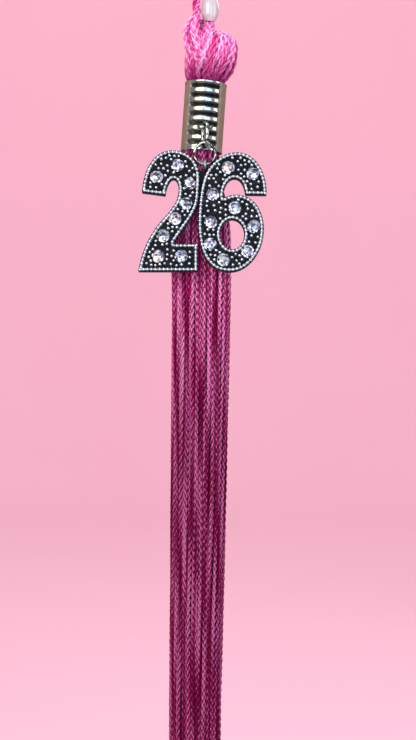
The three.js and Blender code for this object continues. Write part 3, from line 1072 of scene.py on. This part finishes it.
# Outlines in the digit's own millimetres: a point is a straight run, three points are a curve.
TWO_OUTLINE = [
    (0, 0), (17.2, 0), (17.2, 8.1), (10.15, 8.1),
    ((12.6, 12.6), (17.0, 16.8), (17.4, 21.5)), ((17.6, 23.5), (17.75, 25.6), (17.75, 27.6)),
    ((17.75, 32.6), (14.4, 35.8), (9.64, 35.75)), ((4.6, 35.7), (1.3, 30.5), (0.9, 23.3)),
    (7.75, 22.4), ((8.0, 25.0), (9.0, 27.2), (10.1, 27.2)), ((11.3, 27.2), (11.9, 25.0), (11.5, 22.4)),
    ((11.1, 20.0), (8.1, 16.5), (6.35, 14.6)), ((3.2, 10.8), (0.75, 5.8), (0, 0.5)),
]
SIX_OUTLINE = [
    (19.5, 22.5),
    ((20.0, 28.4), (16.6, 35.15), (11.2, 35.15)), ((7.0, 35.15), (3.4, 32.6), (1.55, 28.5)),
    ((0.2, 25.4), (-0.45, 19.5), (-0.45, 14.0)), ((-0.45, 9.0), (0.5, 4.6), (3.3, 1.85)),
    ((4.8, 0.35), (6.8, -0.1), (9.0, -0.1)), ((14.0, -0.1), (18.75, 5.6), (18.75, 12.4)),
    ((18.75, 18.4), (15.4, 22.6), (10.8, 22.6)), ((9.3, 22.6), (8.1, 22.2), (6.9, 21.5)),
    ((6.9, 25.0), (8.3, 27.4), (10.2, 27.4)), ((12.0, 27.4), (12.9, 25.6), (13.4, 22.6)),
]
TWO_STONES = [
    (5.2, 27.9), (11.3, 31.3), (15.0, 26.1), (13.7, 20.0), (10.6, 15.6), (7.1, 10.5), (5.7, 4.5), (12.4, 4.5),
]
SIX_STONES = [
    (8.4, 30.6), (15.6, 28.8), (3.9, 22.8), (10.3, 18.7), (3.3, 14.6), (15.8, 13.2), (3.1, 8.0),
    (14.0, 5.9), (7.0, 3.4),
]


def trace(outline, step=0.35):
    """The outline as evenly spaced points, in metres, each corner kept."""
    points = []
    here = np.array(outline[0], float)
    for leg in outline[1:] + [outline[0]]:
        if isinstance(leg[0], tuple):
            a, b, end = (np.array(p, float) for p in leg)
            t = np.linspace(0, 1, 40)[:, None]
            fine = here * (1 - t)**3 + 3 * a * t * (1 - t)**2 + 3 * b * t**2 * (1 - t) + end * t**3
        else:
            end = np.array(leg, float)
            fine = np.array([here, end])
        way = np.concatenate([[0], np.cumsum(np.linalg.norm(np.diff(fine, axis=0), axis=1))])
        at = np.linspace(0, way[-1], max(2, round(way[-1] / step)), endpoint=False)
        points.append(np.column_stack([np.interp(at, way, fine[:, i]) for i in range(2)]))
        here = end
    return np.vstack(points) * MM


def round_loop(x, y, half_width, half_height, count=48):
    turn = np.linspace(0, 2 * math.pi, count, endpoint=False)
    return np.column_stack([x + half_width * np.cos(turn), y + half_height * np.sin(turn)]) * MM


def area_of(loop):
    x, y = loop[:, 0], loop[:, 1]
    return 0.5 * float(np.sum(x * np.roll(y, -1) - np.roll(x, -1) * y))


def inset(loop, distance):
    """The loop moved by distance to its inner side, in metres; negative moves it out."""
    along = np.roll(loop, -1, 0) - np.roll(loop, 1, 0)
    along /= np.linalg.norm(along, axis=1)[:, None]
    inward = np.column_stack([-along[:, 1], along[:, 0]]) * math.copysign(1, area_of(loop))
    return loop + inward * distance


def filled(name, loops, low, high, edge):
    """A plate between two heights with the first loop's outline and the others cut out."""
    curve = bpy.data.curves.new(name, "CURVE")
    curve.dimensions = "2D"
    curve.fill_mode = "BOTH"
    curve.extrude = (high - low) / 2 - edge
    curve.bevel_depth = edge
    curve.bevel_resolution = 2
    curve.offset = -edge
    for loop in loops:
        spline = curve.splines.new("POLY")
        spline.points.add(len(loop) - 1)
        places = np.column_stack([loop, np.zeros(len(loop)), np.ones(len(loop))])
        spline.points.foreach_set("co", places.ravel())
        spline.use_cyclic_u = True
    mesh = flattened(linked(name, curve), name)
    mesh.transform(Matrix.Translation((0, 0, (low + high) / 2)))
    work = bmesh.new()
    work.from_mesh(mesh)
    bmesh.ops.remove_doubles(work, verts=work.verts, dist=1e-6)
    bmesh.ops.recalc_face_normals(work, faces=work.faces)
    work.to_mesh(mesh)
    work.free()
    return mesh


def distance_to(point, loop):
    """How far a point lies from a closed loop's line."""
    a, b = loop, np.roll(loop, -1, 0)
    run = b - a
    t = np.clip(((point - a) * run).sum(1) / (run**2).sum(1), 0, 1)[:, None]
    return float(np.linalg.norm(a + run * t - point, axis=1).min())


def inside(point, loop):
    x, y = point
    a, b = loop, np.roll(loop, -1, 0)
    crosses = (a[:, 1] > y) != (b[:, 1] > y)
    run = np.where(b[:, 1] == a[:, 1], 1e-12, b[:, 1] - a[:, 1])
    at = a[:, 0] + (y - a[:, 1]) * (b[:, 0] - a[:, 0]) / run
    return bool(np.sum(crosses & (x < at)) % 2)


def granule_places(loops, stones, seed):
    """Evenly scattered places on the field, clear of the rims, the stones and each other."""
    chance = random.Random(seed)
    low, high = loops[0].min(0), loops[0].max(0)
    kept = []
    for _ in range(5000):
        p = np.array([chance.uniform(low[0], high[0]), chance.uniform(low[1], high[1])])
        if not inside(p, loops[0]) or any(inside(p, hole) for hole in loops[1:]):
            continue
        if min(distance_to(p, loop) for loop in loops) < RIM_CLEARANCE * MM:
            continue
        if min(math.dist(p, (x * MM, y * MM)) for x, y in stones) < STONE_CLEARANCE * MM:
            continue
        if all(math.dist(p, q) > GRANULE_GAP * MM for q in kept):
            kept.append(p)
    return kept


def dressed_rim(name, loops):
    """Beads along every outline, on a low ridge."""
    lines = [inset(loop, RIM_INSET * (1 if i == 0 else -1) * MM) for i, loop in enumerate(loops)]
    parts = []
    for line in lines:
        points = np.column_stack([line, np.full(len(line), (-FIELD_Y - 0.16) * MM)])
        parts.append(sweep(name, points, RIDGE_R * MM, sides=10, closed=True))
        edges = [(i, (i + 1) % len(line)) for i in range(len(line))]
        host = linked(name, mesh_from(name, points + [0, 0, 0.2 * MM], [], edges))
        run_tree(host, MILGRAIN, {
            "Pitch": BEAD_PITCH * MM, "Along": 0.42 * MM, "Across": 0.57 * MM, "Height": 0.47 * MM,
            "Finish": RIM_SILVER,
        })
        parts.append(flattened(host, name))
    return joined(name, parts)


def tilted(mesh):
    """Turns a piece of the charm about its hanging ring, as the charm leans."""
    pivot = Matrix.Translation(Vector((0, CHARM_Y, BAIL_Z)) * MM)
    mesh.transform(pivot @ Matrix.Rotation(-CHARM_TILT, 4, "X") @ pivot.inverted())
    return mesh


def facing(mesh, left):
    """Turns a drawing to face -Y and sets it at its place on the charm."""
    mesh.transform(Matrix.Translation(Vector((left, 0, DIGIT_BASE)) * MM) @ FRONT_VIEW)
    return tilted(mesh)


def charm_piece(name, mesh, finish, node, smooth=True):
    piece = new_object(name, mesh, finish, smooth)
    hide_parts(node)
    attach(piece, "charm")
    return piece


def make_digit(name, outline, holes, stones, left, node, seed):
    """One casting: its back, blackened field, beaded rim, granules, cups and stones."""
    loops = [trace(outline)] + holes
    cups = [round_loop(x, y, CUP_R, CUP_R, 32) for x, y in stones]
    back = filled(name, loops, -DIGIT_BACK * MM, -CUP_FLOOR_Y * MM, 0.08 * MM)
    casting = facing(joined(name, [back]), left)
    charm_piece(f"{name}_back", casting, CAST_SILVER, node, smooth=False).data.shade_flat()
    field = facing(filled(name, loops + cups, -CUP_FLOOR_Y * MM, -FIELD_Y * MM, 0.03 * MM), left)
    charm_piece(f"{name}_field", field, BLACK_FIELD, node, smooth=False)
    charm_piece(f"{name}_rim", facing(dressed_rim(name, loops), left), RIM_SILVER, node)
    places = granule_places(loops, stones, seed)
    points = [(x, y, -FIELD_Y * MM + 0.1 * MM) for x, y in places]
    host = linked(name, mesh_from(name, points, []))
    run_tree(host, GRANULES, {
        "Radius": GRANULE_R * MM, "Spread": 0.05 * MM, "Seed": seed, "Finish": GRAIN_SILVER,
    })
    charm_piece(f"{name}_granules", facing(flattened(host, name), left), GRAIN_SILVER, node)
    rings = []
    for x, y in stones:
        turn = round_loop(x, y, CUP_R + 0.02, CUP_R + 0.02, 36)
        points = np.column_stack([turn, np.full(len(turn), -FIELD_Y * MM + 0.05 * MM)])
        rings.append(sweep(name, points, CUP_WIRE_R * MM, sides=8, closed=True))
    charm_piece(f"{name}_cups", facing(joined(name, rings), left), BLACK_FIELD, node)
    for i, place in enumerate(stones):
        number = f"{i + 1:02d}"
        make_stone(f"{name}_stone_{number}", place, left, f"stone_{name}_{number}", seed + i)


def make_stone(name, place, left, node, seed):
    """A round brilliant: table, star and main facets, girdle and pointed back."""
    chance = random.Random(seed)
    work = bmesh.new()

    def ring(count, radius, height, turn):
        for k in range(count):
            a = 2 * math.pi * (k + turn) / count
            work.verts.new((radius * math.cos(a), radius * math.sin(a), height))

    ring(8, 0.95, 0.20, 0.0)
    ring(8, 1.45, 0.08, 0.5)
    ring(16, STONE_R, -0.28, 0.0)
    ring(16, STONE_R, -0.42, 0.0)
    ring(8, 0.9, -0.8, 0.5)
    work.verts.new((0, 0, -0.95))
    bmesh.ops.convex_hull(work, input=list(work.verts))
    bmesh.ops.dissolve_limit(work, angle_limit=math.radians(2), verts=work.verts, edges=work.edges)
    table = max(work.faces, key=lambda face: face.normal.z * face.calc_area())
    bmesh.ops.poke(work, faces=[table])
    bmesh.ops.recalc_face_normals(work, faces=work.faces)
    mesh = bpy.data.meshes.new(name)
    work.to_mesh(mesh)
    work.free()
    spin = Matrix.Rotation(chance.uniform(0, math.pi), 4, "Z")
    mesh.transform(spin)
    paint_facets(mesh, chance)
    tilt = Matrix.Rotation(math.radians(chance.uniform(-4, 4)), 4, "X")
    x, y = place
    mesh.transform(Matrix.Scale(MM, 4) @ Matrix.Translation((x, y, -DIGIT_FRONT - 0.25)) @ tilt)
    facing(mesh, left)
    charm_piece(name, mesh, CRYSTAL, node, smooth=False)


def paint_facets(mesh, chance):
    """Paints each facet's light: painted reflection greyer above, painted sparkle whiter below, a dark wedge
    here and there, and a painted glow on the brightest.
    """
    tone = mesh.color_attributes.new("facet", "FLOAT_COLOR", "CORNER")
    painted_glow = mesh.color_attributes.new("painted_glow", "FLOAT_COLOR", "CORNER")
    greys = [
        (0.13, 0.16, 0.20), (0.06, 0.07, 0.09), (0.24, 0.29, 0.35), (0.40, 0.46, 0.52), (0.02, 0.02, 0.03),
    ]
    white = (0.76, 0.97, 0.96)
    whites = [white, white, (0.35, 0.47, 0.53), (0.12, 0.14, 0.18), (0.03, 0.03, 0.04)]
    glint = chance.choice([(0.55, 0.9, 0.6), (1.0, 0.62, 0.4), (0.45, 0.6, 1.0), (0.75, 0.65, 1.0)])
    for face in mesh.polygons:
        # Painted sparkle: facets towards the lower left take the whiter tones, as if lit through the stone.
        low = face.center.y + 0.4 * face.center.x < chance.uniform(-0.7, 0.3)
        tint = chance.choice(whites if low else greys)
        if chance.random() < 0.05:
            tint = glint
        # Painted glow: the whitest facets and the glints give off a little light.
        glow = 0.35 if min(tint) > 0.6 else 0.05
        for corner in face.loop_indices:
            tone.data[corner].color = (*tint, 1)
            painted_glow.data[corner].color = (*(glow * c for c in tint), 1)


# ---------------------------------------------------------------- camera, light and floor

def make_camera():
    camera = bpy.data.cameras.new("camera")
    camera.sensor_width = 36
    camera.lens = 64.9
    eye = linked("camera", camera)
    eye.location = (0.0021, -0.4, -0.1584)
    eye.rotation_euler = (math.radians(90), 0, 0)
    bpy.context.scene.camera = eye


def area_light(name, azimuth, height, distance, size, power, colour):
    """A soft panel that faces the object, at an azimuth from the front towards the right."""
    a = math.radians(azimuth)
    middle = Vector((0, 0, -0.12))
    place = middle + Vector((distance * math.sin(a), -distance * math.cos(a), height))
    panel(name, place, middle, size, power, colour)


def panel(name, place, aim, size, power, colour):
    light = bpy.data.lights.new(name, "AREA")
    light.shape = "RECTANGLE"
    light.size, light.size_y = size
    light.energy = power
    light.color = colour
    lamp = linked(name, light)
    lamp.location = place
    lamp.rotation_euler = (Vector(aim) - lamp.location).to_track_quat("-Z", "Y").to_euler()
    lamp.visible_camera = False


def make_sweep():
    """A pale seamless bowl: a round floor that curves up into a wall on every side."""
    floor_z, reach, bend, top = -0.42, 2.9, 0.9, 3.0
    profile = [(0.4 * (reach - bend) * i, floor_z) for i in (1, 2, 2.5)]
    for i in range(1, 17):
        a = math.pi / 2 * i / 16
        profile.append((reach - bend + bend * math.sin(a), floor_z + bend * (1 - math.cos(a))))
    profile.append((reach, top))
    sides = 96
    points = [(0, 0, floor_z)] + round_points(profile, sides)
    faces = [(0, 1 + k, 1 + (k + 1) % sides) for k in range(sides)]
    faces += [face[::-1] for face in quads(len(profile), sides, first=1)]
    pale = material("pale_sweep", {"Roughness": 0.9, "Emission Strength": 0.13}, lambda nodes: {
        "Base Color": nodes.mix(nodes.noise(3.0), (0.90, 0.55, 0.65, 1), (0.92, 0.59, 0.69, 1)),
        "Emission Color": nodes.mix(nodes.noise(2.0), (0.90, 0.56, 0.66, 1), (0.92, 0.60, 0.70, 1)),
    })
    bowl = new_object("sweep", mesh_from("sweep", points, faces), pale)
    bowl.visible_glossy = False  # the metals mirror the lamps and the sky alone


def make_studio():
    area_light("key", -30, 0.25, 0.9, (0.7, 0.7), 5.2, (1.0, 0.95, 0.88))
    area_light("window", 18, 0.05, 1.0, (0.62, 0.8), 3.4, (0.42, 0.70, 1.0))
    area_light("side", 68, 0.1, 0.9, (0.3, 0.7), 1.8, (1.0, 0.96, 0.9))
    area_light("crown", -10, 1.1, 0.45, (0.6, 0.5), 6.5, (0.80, 0.90, 1.0))
    area_light("back", 150, 0.5, 0.7, (0.5, 0.5), 1.6, (1.0, 0.95, 0.95))
    panel("wash", (0.0, 0.9, 1.9), (0, 2.9, -0.2), (1.2, 1.2), 20.0, (1, 1, 1))
    world = bpy.data.worlds.new("studio")
    world.use_nodes = True
    sky = world.node_tree.nodes["Background"]
    sky.inputs["Color"].default_value = (0.84, 0.88, 0.96, 1)
    sky.inputs["Strength"].default_value = 0.26
    bpy.context.scene.world = world
    bpy.context.scene.view_settings.view_transform = "Standard"


make_camera()
make_loop_cord()
for index in range(STRANDS):
    make_strand(index)
make_inner_threads()
make_head()
make_barrel()
dress_hidden_neck()
make_wires()
make_digit("two", TWO_OUTLINE, [], TWO_STONES, TWO_LEFT, "digit_two", 20)
six_counter = round_loop(9.5, 10.9, 3.5, 4.4, 64)
make_digit("six", SIX_OUTLINE, [six_counter], SIX_STONES, SIX_LEFT, "digit_six", 60)
make_sweep()
make_studio()
